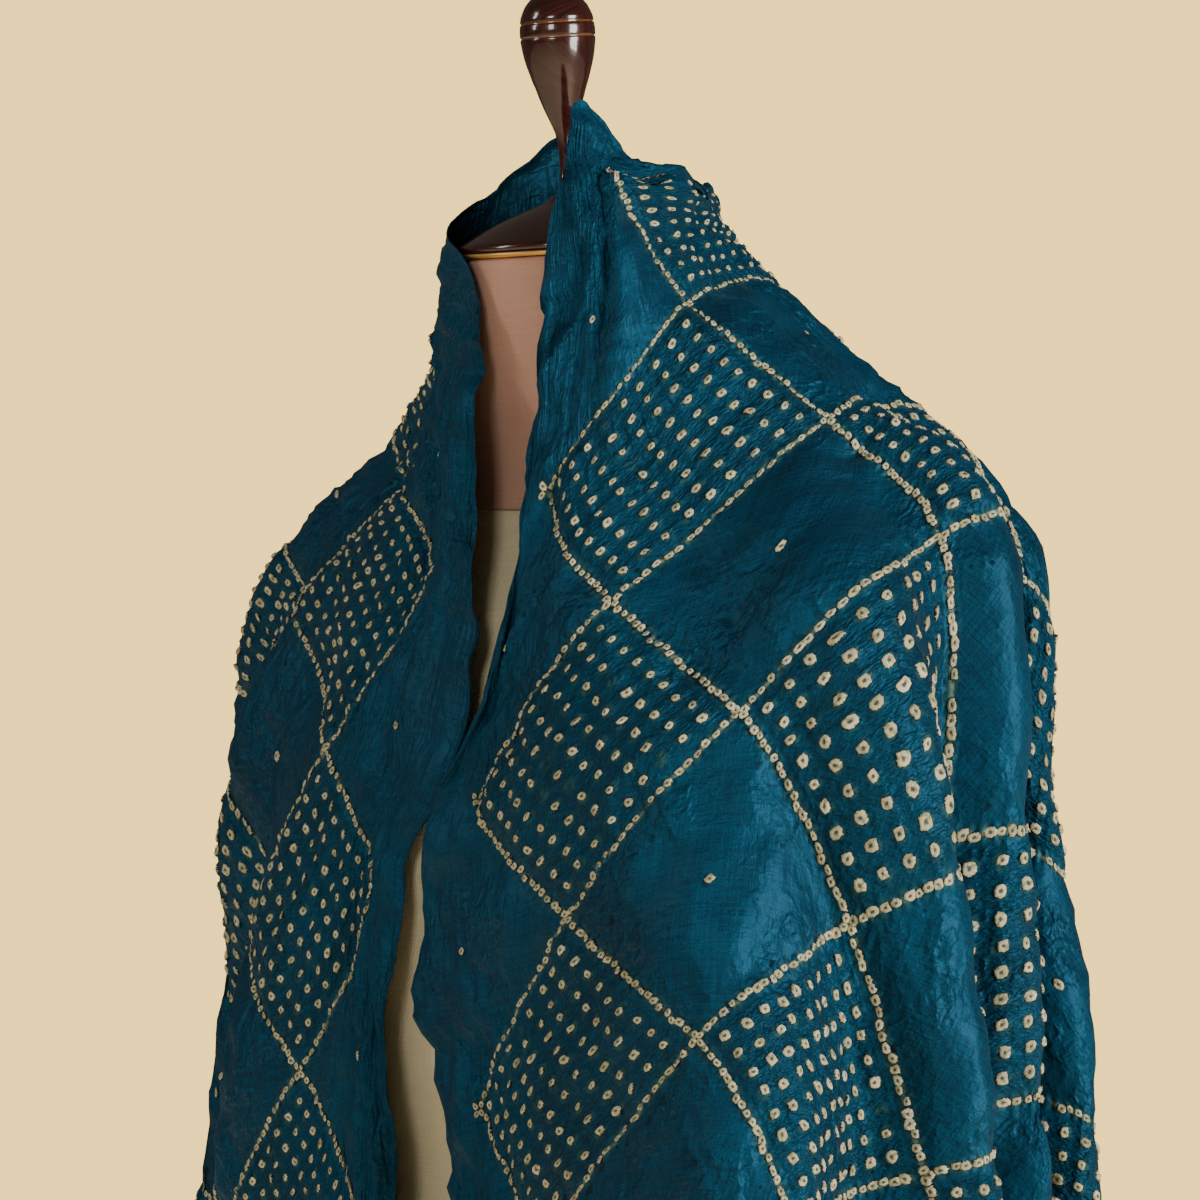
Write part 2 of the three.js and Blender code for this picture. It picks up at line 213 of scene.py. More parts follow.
def fluteWave(phi):
    angles, heights = np.array(drape["flutes"], float).T
    k = np.clip(np.searchsorted(angles, phi) - 1, 0, len(angles) - 2)
    f = np.clip((phi - angles[k]) / (angles[k + 1] - angles[k]), 0, 1)
    return heights[k] + (heights[k + 1] - heights[k]) * (0.5 - 0.5 * np.cos(np.pi * f))


def formReach(z, angle):
    # How far out a level direction meets the form, and where its axis is.
    table = np.array(form["sections"], float)
    k = np.clip(np.searchsorted(table[:, 0], z) - 1, 0, len(table) - 2)
    f = np.clip((z - table[k, 0]) / (table[k + 1, 0] - table[k, 0]), 0, 1)
    half, front, back, power = between(table[:, 1:], k + f).T
    deep = (back - front) / 2
    total = np.abs(np.cos(angle) / half) ** power + np.abs(np.sin(angle) / deep) ** power
    return total ** (-1 / power), (front + back) / 2


def smooth(x, low, high):
    f = np.clip((x - low) / (high - low), 0, 1)
    return f * f * (3 - 2 * f)


def clearOfForm(p, least=0.0):
    # Moves points out of the form, sideways or up, whichever is less.
    p = p.copy()
    top = form["neckTop"] + 32
    chosen = np.nonzero((p[:, 2] < top) & (p[:, 2] > form["bottom"] - 12))[0]
    risen = smooth(p[chosen, 2], *drape["neckClearanceHeights"])
    wanted = least + drape["clearance"] * (1 - risen) + drape["neckClearance"] * risen
    for n in range(12):
        q = p[chosen]
        angle = np.zeros(len(q))
        middle = formReach(q[:, 2], angle)[1]
        angle = np.arctan2(q[:, 1] - middle, q[:, 0])
        near = np.hypot(q[:, 0], q[:, 1] - middle)
        reach = formReach(q[:, 2], angle)[0]
        rise = (reach - formReach(q[:, 2] + 4, angle)[0]) / 4
        outward = np.hypot(1, rise)
        lack = np.maximum(wanted * outward - (near - reach), 0)
        push = lack / (outward * outward)
        p[chosen] += np.stack([push * np.cos(angle), push * np.sin(angle), push * rise], 1)
        if lack.max() < 0.01:
            break
    return p


def softNoise(x, y, seed):
    # Smooth noise from -1 to 1, at places counted in cells.
    table = np.random.default_rng(seed).uniform(-1, 1, (128, 128))
    i, j = np.floor(x).astype(int), np.floor(y).astype(int)
    f, g = x - i, y - j
    f = f * f * f * (f * (f * 6 - 15) + 10)
    g = g * g * g * (g * (g * 6 - 15) + 10)
    low = table[i % 128, j % 128] * (1 - f) + table[(i + 1) % 128, j % 128] * f
    high = table[i % 128, (j + 1) % 128] * (1 - f) + table[(i + 1) % 128, (j + 1) % 128] * f
    return low * (1 - g) + high * g


def gridNormals(grid):
    alongU = np.gradient(grid, axis=0)
    alongV = np.gradient(grid, axis=1)
    normals = np.cross(alongU, alongV)
    return normals / np.maximum(np.linalg.norm(normals, axis=2, keepdims=True), 1e-9)


# The dots lie in diamonds, cell by cell, with a chain of dots along each side.
pattern = {
    "cell": 150,  # corner to corner
    "firstU": 280,  # centre of one filled cell
    "firstV": 125,
    "cellsAlong": (-10, 8),  # counted from that cell
    "cellsAcross": (-1, 5),
    "margin": 50,
    "endMargin": 45,
    "pitch": 10.6,
    "dotsPerSide": 9,
    "chainPitch": 4.82,
    "dotsPerChain": 22,
    "halfSide": 53.03,
}


def cellPlace(u, v):
    # Where a flat point lies in its diamond, along the diamond's own sides.
    cell = pattern["cell"]
    a = (u - pattern["firstU"] + cell / 2) % cell - cell / 2
    b = (v - pattern["firstV"] + cell / 2) % cell - cell / 2
    return (a + b) / math.sqrt(2), (b - a) / math.sqrt(2)


# Heights of the creases, and their sizes on the flat stole.
wrinkles = {
    "upperSpread": 240,  # width that a radian of hang lines has near the neck
    "lowerSpread": 560,
    "spreadChange": (300, 520),  # distances down a hang line where one takes over
    "otherSide": 1240,  # sets the creases of the right side apart
    "streakWidth": 24,
    "streakLength": 95,
    "streakHeight": 2.6,
    "finerWidth": 10.5,
    "finerLength": 48,
    "finerHeight": 1.15,
    "slant": (0.83, 0.56),  # cosine and sine of the way that the crumples lie
    "crumple": 0.7,
    "crumpleSizes": (12, 8),
    "crushed": 3.0,
    "crushedSizes": (27, 36, 14, 19),
    "pleat": 9.0,
    "pleatAlong": (115, 150, 215, 275),  # comes in and fades out along the edge
    "pleatRise": (45, 54),  # the step of the pleat, across the stole
    "pleatFall": (60, 108),
    "pleatSlope": 0.33,
    "facets": 4.0,
    "facetSizes": (46, 64),
    "facetFade": (90, 220),
    "broad": 4.0,
    "broadSize": 125,
    "cellPuff": 2.2,
    "puffWidth": 26,
    "chainSink": 1.3,
    "sinkWidth": 6,
    "edgeWave": 2.2,
    "edgeGather": 2.4,
    "edgeRoll": 3.0,
}


def wrinkle(u, v, phi, distance):
    # How far the silk stands out from its smooth hang, in creases that run
    # down the hang lines, in crumples, facets and one pleat at the collar, and
    # in one broad swell.
    w = wrinkles
    bend = softNoise(u / 90, v / 90, 3) * 12
    side = np.where(u < 0, w["otherSide"], 0)
    far = smooth(distance, *w["spreadChange"])

    def creases(width, length, seed):
        # Creases fan out with the hang lines, and start afresh lower down.
        near = np.radians(phi) * w["upperSpread"] + side + bend
        wide = np.radians(phi) * w["lowerSpread"] + side + bend
        upper = softNoise(near / width, distance / length, seed)
        return upper * (1 - far) + softNoise(wide / width, distance / length, seed + 50) * far

    streaks = creases(w["streakWidth"], w["streakLength"], 11)
    finer = 0.5 - 1.6 * np.abs(creases(w["finerWidth"], w["finerLength"], 12))
    cosine, sine = w["slant"]
    a, b = cosine * u + sine * v, cosine * v - sine * u
    warp = softNoise(u / 42, v / 42, 17)
    wide, long, narrow, short = w["crushedSizes"]
    crushed = 0.5 - 1.5 * np.abs(softNoise(a / wide + warp, b / long - warp, 18))
    crushed += 0.25 - 0.8 * np.abs(softNoise(b / narrow + warp, a / short + warp, 19))
    large, small = w["crumpleSizes"]
    crumple = softNoise(a / large, b / large, 13) + 0.6 * softNoise(b / small, a / small, 14)
    swell = softNoise(u / w["broadSize"], v / w["broadSize"], 15) * smooth(distance, 180, 420)
    p, q = cellPlace(u, v)
    reach = np.maximum(np.abs(p), np.abs(q))
    inside = v > pattern["margin"]
    filled = inside * smooth(54 - reach, -1, 3)
    fromChain = np.abs(pattern["halfSide"] - reach)
    puff = np.where(inside, smooth(fromChain, 0, w["puffWidth"]), 1)
    sink = inside * (1 - smooth(fromChain, 0, w["sinkWidth"]))
    gathered = 1 - 0.55 * smooth(distance, 200, 520)
    height = w["streakHeight"] * streaks * (0.55 + 0.6 * gathered)
    height += w["finerHeight"] * finer * (0.5 + 0.7 * filled) * (0.5 + 0.7 * gathered)
    height += w["crumple"] * crumple * (0.7 + 0.5 * filled)
    height += w["crushed"] * crushed * (1 - 0.35 * filled)
    start, full, fade, end = w["pleatAlong"]
    collar = smooth(u, start, full) * (1 - smooth(u, fade, end))
    line = v - w["pleatSlope"] * (u - full) + 5 * softNoise(u / 60, v / 200, 24)
    step = smooth(line, *w["pleatRise"]) - smooth(line, *w["pleatFall"])
    height += w["pleat"] * step * collar
    wide, long = w["facetSizes"]
    facets = 0.5 - 1.6 * np.abs(softNoise(u / wide + warp, v / long, 27))
    facets = facets * (1 - smooth(distance, *w["facetFade"]))
    height += w["facets"] * facets * np.where(u < 0, 0.5, 1)
    height += w["broad"] * swell + w["cellPuff"] * puff * (1 - 0.6 * filled)
    return height - w["chainSink"] * sink


print("stage: hanging the stole")
f = np.linspace(0, 1, drape["columns"] + 1)
columnU = drape["leftEnd"] - drape["length"] + drape["length"] * (
    f + drape["columnCrowding"] * np.sin(2 * np.pi * f))
rowV = np.linspace(0, 1, drape["rows"] + 1) ** drape["rowCrowding"] * drape["width"]
gridU, gridV = np.meshgrid(columnU, rowV, indexing="ij")
shape = gridU.shape
flatU, flatV = gridU.ravel(), gridV.ravel()
place, phi, distance = hang(flatU, flatV)
base = place.reshape(shape + (3,))
rise = np.clip((distance - drape["fluteStart"]) * drape["fluteGrowth"], 0, drape["fluteLimit"])
standing = (rise * fluteWave(phi)).reshape(shape)
hung = base + gridNormals(base) * standing[..., None]
hung = clearOfForm(hung.reshape(-1, 3)).reshape(base.shape)
height = wrinkle(flatU, flatV, phi, distance).reshape(shape)
edge = np.minimum(gridV, drape["width"] - gridV)
height += wrinkles["edgeWave"] * softNoise(gridU / 34, gridV / 60, 21) * (
    1 - smooth(edge, 0, 45))
gather = softNoise(gridU / 13 + softNoise(gridU / 40, gridV / 40, 23), gridV / 70, 22)
height += wrinkles["edgeGather"] * gather * (1 - smooth(edge, 25, 62))
height -= wrinkles["edgeRoll"] * (1 - smooth(gridV, 0, 9))  # the worn edge rolls under
surface = hung + gridNormals(hung) * height[..., None]
edgeFrom = drape["edgeFrom"]
for name, side in (("leftEdge", gridU > edgeFrom), ("rightEdge", gridU < -edgeFrom)):
    heights, shifts = np.array(drape[name][::-1], float).T
    sway = np.interp(surface[..., 2], heights, shifts)
    surface[..., 0] += np.where(side, sway * (1 - smooth(gridV, *drape["edgeWidth"])), 0)
surface = clearOfForm(surface.reshape(-1, 3), least=-0.6).reshape(base.shape)
surfaceNormals = gridNormals(surface)


def gridPlace(u, v):
    # Places of flat points in the grid, counted in columns and rows.
    i = np.interp(u, columnU, np.arange(len(columnU)))
    j = np.interp(v, rowV, np.arange(len(rowV)))
    return i, j


def onGrid(grid, u, v):
    i, j = gridPlace(u, v)
    a = np.clip(np.floor(i).astype(int), 0, shape[0] - 2)
    b = np.clip(np.floor(j).astype(int), 0, shape[1] - 2)
    f, g = (i - a)[:, None], (j - b)[:, None]
    low = grid[a, b] * (1 - f) + grid[a + 1, b] * f
    high = grid[a, b + 1] * (1 - f) + grid[a + 1, b + 1] * f
    return low * (1 - g) + high * g


def makePiece(name, points, faces, finish, facts):
    # A mesh object from points in millimetres, with facts for its materials.
    mesh = bpy.data.meshes.new(name)
    mesh.from_pydata((points / 1000).tolist(), [], faces)
    for key, values in facts.items():
        kind, field = ("FLOAT_VECTOR", "vector") if values.ndim == 2 else ("FLOAT", "value")
        layer = mesh.attributes.new(key, kind, "POINT")
        layer.data.foreach_set(field, values.ravel())
    mesh.polygons.foreach_set("use_smooth", [len(face) < 5 for face in faces])
    mesh.update()
    piece = bpy.data.objects.new(name, mesh)
    bpy.context.scene.collection.objects.link(piece)
    mesh.materials.append(finish)
    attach(piece, "root")
    return piece


class Wire:
    # One output of a node. Sums on wires add Math nodes.
    def __init__(self, finish, socket):
        self.finish, self.socket = finish, socket

    def math(self, operation, *others):
        return self.finish.add("Math", {"operation": operation}, dict(enumerate((self,) + others)))

    def __add__(self, other):
        return self.math("ADD", other)

    __radd__ = __add__

    def __sub__(self, other):
        return self.math("SUBTRACT", other)

    def __rsub__(self, other):
        return self.finish.add("Math", {"operation": "SUBTRACT"}, {0: other, 1: self})

    def __mul__(self, other):
        return self.math("MULTIPLY", other)

    __rmul__ = __mul__

    def __truediv__(self, other):
        return self.math("DIVIDE", other)

    def __abs__(self):
        return self.math("ABSOLUTE")

    def wrapped(self, size):
        # Repeats from minus half the size to half the size.
        return self.math("WRAP", size / 2, -size / 2)

    def stepped(self, low, high):
        # From 0 at low to 1 at high, smoothly.
        sockets = {"Value": self, "From Min": low, "From Max": high}
        return self.finish.add("MapRange", {"interpolation_type": "SMOOTHSTEP"}, sockets)


class Finish:
    # A material with one Principled shader, and one way to add nodes to it.
    def __init__(self, name, **constants):
        self.material = bpy.data.materials.new(name)
        self.material.use_nodes = True
        self.tree = self.material.node_tree
        self.tree.nodes.clear()
        self.shader = self.tree.nodes.new("ShaderNodeBsdfPrincipled")
        output = self.tree.nodes.new("ShaderNodeOutputMaterial")
        self.tree.links.new(self.shader.outputs[0], output.inputs["Surface"])
        for key, value in constants.items():
            self.shader.inputs[key.replace("_", " ")].default_value = value

    def add(self, kind, settings=None, sockets=None, out=0):
        node = self.tree.nodes.new("ShaderNode" + kind)
        for key, value in (settings or {}).items():
            if key == "stops":
                self.setStops(node.color_ramp, value)
            else:
                setattr(node, key, value)
        for key, value in (sockets or {}).items():
            if isinstance(value, Wire):
                self.tree.links.new(value.socket, node.inputs[key])
            else:
                node.inputs[key].default_value = value
        return Wire(self, node.outputs[out])

    def setStops(self, ramp, stops):
        while len(ramp.elements) < len(stops):
            ramp.elements.new(0.5)
        for element, (position, colour) in zip(ramp.elements, stops):
            element.position = position
            element.color = (*colour, 1)

    def feed(self, name, wire):
        self.tree.links.new(wire.socket, self.shader.inputs[name])

    def value(self, name, axis=None):
        # A value of the mesh's points, or one axis of it.
        if axis is None:
            return self.add("Attribute", {"attribute_name": name}, out="Fac")
        vector = self.add("Attribute", {"attribute_name": name}, out="Vector")
        return self.add("SeparateXYZ", None, {0: vector}, out=axis)

    def noise(self, x, y, z=0.0, detail=2.0, roughness=0.5):
        spot = self.add("CombineXYZ", None, {0: x, 1: y, 2: z})
        sockets = {"Vector": spot, "Scale": 1.0, "Detail": detail, "Roughness": roughness}
        return self.add("TexNoise", None, sockets)

    def mix(self, factor, a, b):
        a = a if isinstance(a, Wire) else (*a, 1)
        b = b if isinstance(b, Wire) else (*b, 1)
        return self.add("Mix", {"data_type": "RGBA"}, {0: factor, 6: a, 7: b}, out=2)

    def bump(self, height, strength):
        # Heights are in millimetres.
        sockets = {"Height": height, "Distance": 0.001, "Strength": strength}
        self.feed("Normal", self.add("Bump", None, sockets))


silk = {
    # deep teal of the dye; the feet of the dots also take it, partly as painted shade
    "deep": (0.004, 0.014, 0.028),
    "bright": (0.006, 0.053, 0.102),
    "halo": (0.03, 0.1, 0.07),
    "mint": (0.2, 0.27, 0.17),
    # painted shade: the underside layer's colour, darker than the teal though the back of the silk
    # is dyed the same
    "reverse": (0.0025, 0.008, 0.012),
    "roughness": 0.5,
    "sheen": 0.08,
    "sheenTint": (0.04, 0.4, 0.7, 1),
    "shineTint": (0.12, 0.55, 0.95, 1),
    "thread": 0.9,
    "threadLength": 22,
    "cloud": 55,  # size of the clouds in the dye
    "bump": 0.9,
}


def makeSilk():
    finish = Finish("tealSilk", Sheen_Weight=silk["sheen"], Sheen_Roughness=0.4,
                    Sheen_Tint=silk["sheenTint"], Specular_IOR_Level=0.5,
                    Specular_Tint=silk["shineTint"])
    u, v = finish.value("flat", 0), finish.value("flat", 1)
    across, down = finish.value("hang", 0), finish.value("hang", 1)
    a = (u - pattern["firstU"]).wrapped(pattern["cell"])
    b = (v - pattern["firstV"]).wrapped(pattern["cell"])
    p, q = (a + b) / math.sqrt(2), (b - a) / math.sqrt(2)
    reach = abs(p).math("MAXIMUM", abs(q))
    least = abs(p).math("MINIMUM", abs(q))
    low, high = pattern["margin"], drape["width"] - pattern["margin"]
    inside = v.stepped(low - 2, low + 2) * (1 - v.stepped(high - 2, high + 2))
    filled = (1 - reach.stepped(46.5, 49)) * inside
    near = p.wrapped(pattern["pitch"]).math("POWER", 2.0) + q.wrapped(
        pattern["pitch"]).math("POWER", 2.0)
    near = near.math("SQRT")
    chainStep = least.wrapped(pattern["chainPitch"])
    chain = abs(reach - pattern["halfSide"])
    atChain = (1 - chain.stepped(1.5, 5.0)) * inside
    # Colour: cloudy dyeing, threads that run both ways, and a green fringe
    # of half-dyed silk round the tied dots; the underside layer gets painted shade.
    cloud = finish.noise(u / silk["cloud"], v / silk["cloud"], detail=3.0)
    warps = finish.noise(u / silk["thread"], v / silk["threadLength"], detail=1.0)
    threads = warps + finish.noise(u / 30, v / 0.8, detail=1.0)
    speck = finish.noise(u / 0.75, v / 0.75, detail=1.0)
    tone = (threads - 1) * 1.1 + (speck - 0.5) * 1.8 + (cloud - 0.5) * 0.9 + 0.42
    teal = finish.mix(tone, silk["deep"], silk["bright"])
    ragged = finish.noise(u / 4, v / 4, detail=2.0)
    fringe = (1 - near.stepped(2.4, 4.2)) * filled + atChain * 0.7
    fringe = fringe * ragged.stepped(0.38, 0.62) * 0.55
    teal = finish.mix(fringe, teal, silk["halo"])
    link = (1 - chain.stepped(0.3, 1.7)) * inside * ragged.stepped(0.4, 0.6) * 0.6
    teal = finish.mix(link, teal, silk["mint"])
    # The underside layer takes a darker colour: painted shade, for the dark inside of the collar.
    finish.feed("Base Color", finish.mix(finish.value("reverse") * 0.8, teal, silk["reverse"]))
    # Relief: creases that join the dots, crinkles down the hang lines, slubs.
    wander = (finish.noise(u / 12, v / 12, detail=2.0) - 0.5) * 5
    swing = finish.noise(u / 14, v / 14, 3.0, detail=1.0).stepped(0.25, 0.6)
    lengthwise = 1 - abs((p + wander).wrapped(pattern["pitch"])).stepped(0.3, 4.4)
    sideways = 1 - abs((q + wander).wrapped(pattern["pitch"])).stepped(0.3, 3.6)
    crease = (lengthwise * 0.8 + sideways * 0.4) * filled * swing
    calm = finish.noise(u / 60, v / 60, 9.0, detail=1.0).stepped(0.4, 0.65)
    crinkle = finish.noise(across / 11, down / 75, detail=2.0, roughness=0.5)
    crush = finish.noise(u / 15, v / 15, 4.0, detail=3.0, roughness=0.5)
    ridge = (1 - abs(crinkle - 0.5) * 9).math("MAXIMUM", 0.0)
    fold = (1 - abs(crush - 0.5) * 9).math("MAXIMUM", 0.0)
    netted = finish.noise(p / 2.6, q / 7, 6.0, detail=2.0)
    knit = (1 - abs(netted - 0.5) * 7).math("MAXIMUM", 0.0) * filled
    pucker = (1 - near.stepped(1.5, 4.5)) * filled * 0.45
    tight = atChain * (chainStep * (2 * math.pi / pattern["chainPitch"])).math("COSINE") * 0.35
    height = crease + pucker + tight + knit * 0.6 + threads * 0.11
    height = height + (ridge * 0.8 + fold * 0.9) * (calm + 0.35)
    finish.feed("Roughness", crush * 0.16 + (silk["roughness"] - 0.08))
    finish.bump(height, silk["bump"])
    return finish.material


dots = {
    "radius": 2.2,
    "chainRadius": 1.95,
    "chainStretch": 1.1,
    "growth": 0.2,
    "growthAcross": (175, 225),  # the dots grow between these, away from the neck
    "wander": 0.5,
    "height": 1.1,
    "missing": 0.015,
    "sides": 8,
    "cream": (0.44, 0.41, 0.24),
    "pale": (0.66, 0.61, 0.4),
    "stain": (0.16, 0.17, 0.09),
    "centre": (0.03, 0.045, 0.045),
}


def makeDotFinish():
    finish = Finish("tiedDots", Roughness=0.85, Specular_IOR_Level=0.2)
    rim, tone = finish.value("rim"), finish.value("tone")
    u, v = finish.value("flat", 0), finish.value("flat", 1)
    rough = finish.noise(u / 0.9, v / 0.9, detail=2.0)
    spread = rim + (rough - 0.5) * 0.5
    colour = finish.mix(tone, dots["cream"], dots["pale"])
    patch = finish.noise(u / 2.2, v / 2.2, 5.0, detail=1.0)
    colour = finish.mix(patch.stepped(0.45, 0.7) * 0.75, colour, dots["stain"])
    colour = finish.mix((1 - spread.stepped(0.14, 0.44)) * 0.9, colour, dots["centre"])
    # The foot of each dot fades to the deepest teal, darker than the silk round it: partly the
    # edge of the dye, partly painted shade where the dot meets the silk.
    colour = finish.mix(spread.stepped(0.82, 0.98), colour, silk["deep"])
    finish.feed("Base Color", colour)
    finish.bump(rough * 0.4, 1.0)
    return finish.material


def makeDots(name, places, radius, stretch, finish):
    # One knot for each dot, roughly square: a dent, a raised ring and a foot.
    rng = np.random.default_rng(17)
    count, sides = len(places), dots["sides"]
    rings = [(0.0, 0.35, 0.0), (0.5, 1.0, 0.45), (0.92, 0.62, 0.85), (1.14, -0.3, 1.1)]
    angle = np.arange(sides) * 2 * math.pi / sides
    size = radius * rng.uniform(0.84, 1.12, (count, 1))
    size *= 1 + dots["growth"] * smooth(places[:, 1:2], *dots["growthAcross"])
    spin = rng.uniform(-0.3, 0.3, (count, 1))
    longer = stretch * rng.uniform(0.88, 1.14, (count, 1))
    square = (np.abs(np.cos(angle)) ** 3 + np.abs(np.sin(angle)) ** 3) ** (-1 / 3) / 1.08
    ragged = square[None] * rng.uniform(0.86, 1.14, (count, sides))
    tone = np.clip(rng.normal(0.5, 0.25, (count, 1)), 0, 1)
    tilt = rng.uniform(-0.35, 0.35, (count, 2))
    us, vs, heights, rims, tones = [], [], [], [], []
    for scale, lift, rim in rings:
        n = 1 if scale == 0 else sides
        around = angle[None, :n] + spin
        reach = size * scale * ragged[:, :n]
        along, across = reach * np.cos(around) * longer, reach * np.sin(around) / longer
        swap = places[:, 2:3] > 0
        p, q = np.where(swap, across, along), np.where(swap, along, across)
        us.append(places[:, :1] + (p - q) / math.sqrt(2))
        vs.append(places[:, 1:2] + (p + q) / math.sqrt(2))
        leaning = (along * tilt[:, :1] + across * tilt[:, 1:]) if scale < 1 else 0 * along
        heights.append(lift * dots["height"] * size / radius + leaning)
        rims.append(np.full((count, n), rim))
        tones.append(np.repeat(tone, n, 1))
    u, v = np.concatenate(us, 1).ravel(), np.concatenate(vs, 1).ravel()
    lifted = np.concatenate(heights, 1).ravel() + drape["thickness"] / 2
    points = onGrid(surface, u, v) + onGrid(surfaceNormals, u, v) * lifted[:, None]
    faces = []
    for k in range(sides):
        n = (k + 1) % sides
        faces.append([0, 1 + k, 1 + n])
        for a in (1, 1 + sides):
            faces.append([a + k, a + sides + k, a + sides + n, a + n])
    each = 1 + 3 * sides
    every = [[i + first for i in face] for first in range(0, count * each, each)
             for face in faces]
    facts = {
        "flat": np.stack([u, v, np.zeros(len(u))], 1),
        "rim": np.concatenate(rims, 1).ravel(),
        "tone": np.concatenate(tones, 1).ravel(),
    }
    return makePiece(name, points, every, finish, facts)


def dotPlaces():
    # The flat places of the dots in the filled cells, and of those in chains.
    # The third number says along which side of the cell a link lies.
    rng = np.random.default_rng(5)
    inner, outer = [], []
    half, pitch = pattern["halfSide"], pattern["pitch"]
    steps = np.arange(pattern["dotsPerSide"]) - pattern["dotsPerSide"] // 2
    run = (np.arange(pattern["dotsPerChain"]) + 0.5) * pattern["chainPitch"] - half
    for m in range(*pattern["cellsAlong"]):
        for n in range(*pattern["cellsAcross"]):
            u = pattern["firstU"] + m * pattern["cell"]
            v = pattern["firstV"] + n * pattern["cell"]
            for i in steps:
                for j in steps:
                    p, q = i * pitch, j * pitch
                    inner.append([u + (p - q) / math.sqrt(2), v + (p + q) / math.sqrt(2), 0])
            plain = pattern["cell"] / 2
            inner.append([u + plain, v - plain, 0])  # the single dot of a plain cell
            for s in run:
                for p, q, turned in ((s, half, 0), (s, -half, 0), (half, s, 1), (-half, s, 1)):
                    spot = [u + (p - q) / math.sqrt(2), v + (p + q) / math.sqrt(2), turned]
                    outer.append(spot)
    kept = []
    leftEnd = drape["leftEnd"] - pattern["endMargin"]
    rightEnd = drape["leftEnd"] - drape["length"] + pattern["endMargin"]
    low = pattern["margin"] - 3  # the outermost chains just reach into the margin
    for places in (inner, outer):
        places = np.array(places)
        good = (places[:, 0] > rightEnd) & (places[:, 0] < leftEnd)
        good &= (places[:, 1] > low) & (places[:, 1] < drape["width"] - low)
        good &= rng.uniform(0, 1, len(places)) > dots["missing"]
        places = places[good]
        places[:, :2] += rng.normal(0, dots["wander"], (len(places), 2))
        kept.append(places)
    return kept


print("stage: making the stole")
half = drape["thickness"] / 2
outer = surface + surfaceNormals * half
inner = surface - surfaceNormals * half
columns, rows = shape
index = np.arange(columns * rows).reshape(shape)
a, b = index[:-1, :-1].ravel(), index[1:, :-1].ravel()
c, d = index[1:, 1:].ravel(), index[:-1, 1:].ravel()
layer = np.stack([a, b, c, d], 1)
under = layer[:, ::-1] + columns * rows
loop = np.concatenate([index[:, 0], index[-1, 1:], index[-2::-1, -1], index[0, -2:0:-1]])
after = np.roll(loop, -1)
skirt = np.stack([loop, after, after + columns * rows, loop + columns * rows], 1)
flat = np.stack([flatU, flatV, np.zeros(len(flatU))], 1)
across = np.radians(phi) * 300 + np.where(flatU < 0, 1240, 0)
lines = np.stack([across, distance, np.zeros(len(flatU))], 1)
stole = makePiece(
    "stole",
    np.concatenate([outer.reshape(-1, 3), inner.reshape(-1, 3)]),
    np.concatenate([layer, under, skirt]).tolist(),
    makeSilk(),
    {
        "flat": np.concatenate([flat, flat]),
        "hang": np.concatenate([lines, lines]),
        # 1 on the underside layer, which the silk paints darker as shade
        "reverse": np.repeat([0.0, 1.0], len(flat)),
    },
)
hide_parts("cloth")

print("stage: tying the dots")
filledDots, chainDots = dotPlaces()
dotFinish = makeDotFinish()
cellDots = makeDots("cell_dots", filledDots, dots["radius"], 1.0, dotFinish)
lineDots = makeDots("chain_dots", chainDots, dots["chainRadius"], dots["chainStretch"], dotFinish)

# The padded form, in two covers that meet at the neckline.
cover = {
    "cream": (0.88, 0.8, 0.52),
    "creamDark": (0.7, 0.63, 0.41),
    "tan": (0.62, 0.36, 0.27),
    "tanDark": (0.5, 0.28, 0.2),
    "linenThread": 1.15,
    "linenRelief": 0.6,
    "jerseyThread": 0.7,
    "jerseyRelief": 0.3,
    "sides": 180,
    "torsoRings": 150,
    "neckRings": 70,
    "tucks": [12, 4, 1.2],  # both ends turn in over the padding
}


def neckLineHeight(y):
    front, middle = formReach(np.array([form["neckLineFront"]]), np.array([-math.pi / 2]))
    back, centre = formReach(np.array([form["neckLineBack"]]), np.array([math.pi / 2]))
    frontY, backY = middle[0] - front[0], centre[0] + back[0]
    slope = (form["neckLineBack"] - form["neckLineFront"]) / (backY - frontY)
    return form["neckLineFront"] + (y - frontY) * slope


def neckEnd(y):
    # Height of the sloping top of the neck.
    return form["neckTop"] + (y - form["neckCentre"]) * math.tan(math.radians(form["lean"]))


def whereMeets(angle, plane, start):
    z = np.full(len(angle), float(start))
    for n in range(40):
        reach, middle = formReach(z, angle)
        z = 0.5 * z + 0.5 * plane(middle + reach * np.sin(angle))
    return z


def makeCover(name, lowEdge, highEdge, rings, finish):
    sides, tucks = cover["sides"], cover["tucks"]
    angle = np.arange(sides) * 2 * math.pi / sides
    low, high = lowEdge(angle), highEdge(angle)
    points, facts = [], []
    share = np.linspace(0, 1, rings)
    levels = [(0, t) for t in tucks] + [(s, 0) for s in share] + [(1, t) for t in tucks[::-1]]
    for s, inward in levels:
        z = low + (high - low) * s
        reach, middle = formReach(z, angle)
        reach = reach - inward
        points.append(np.stack([reach * np.cos(angle), middle + reach * np.sin(angle), z], 1))
        facts.append(np.stack([angle * 110, z, np.zeros(sides)], 1))
    points, facts = np.concatenate(points), np.concatenate(facts)
    ids = np.arange(len(levels) * sides).reshape(len(levels), sides)
    a, b = ids[:-1], ids[1:]
    nextA, nextB = np.roll(a, -1, 1), np.roll(b, -1, 1)
    quads = np.stack([a, nextA, nextB, b], 2).reshape(-1, 4).tolist()
    ends = [ids[0][::-1].tolist(), ids[-1].tolist()]
    return makePiece(name, points, quads + ends, finish, {"flat": facts})


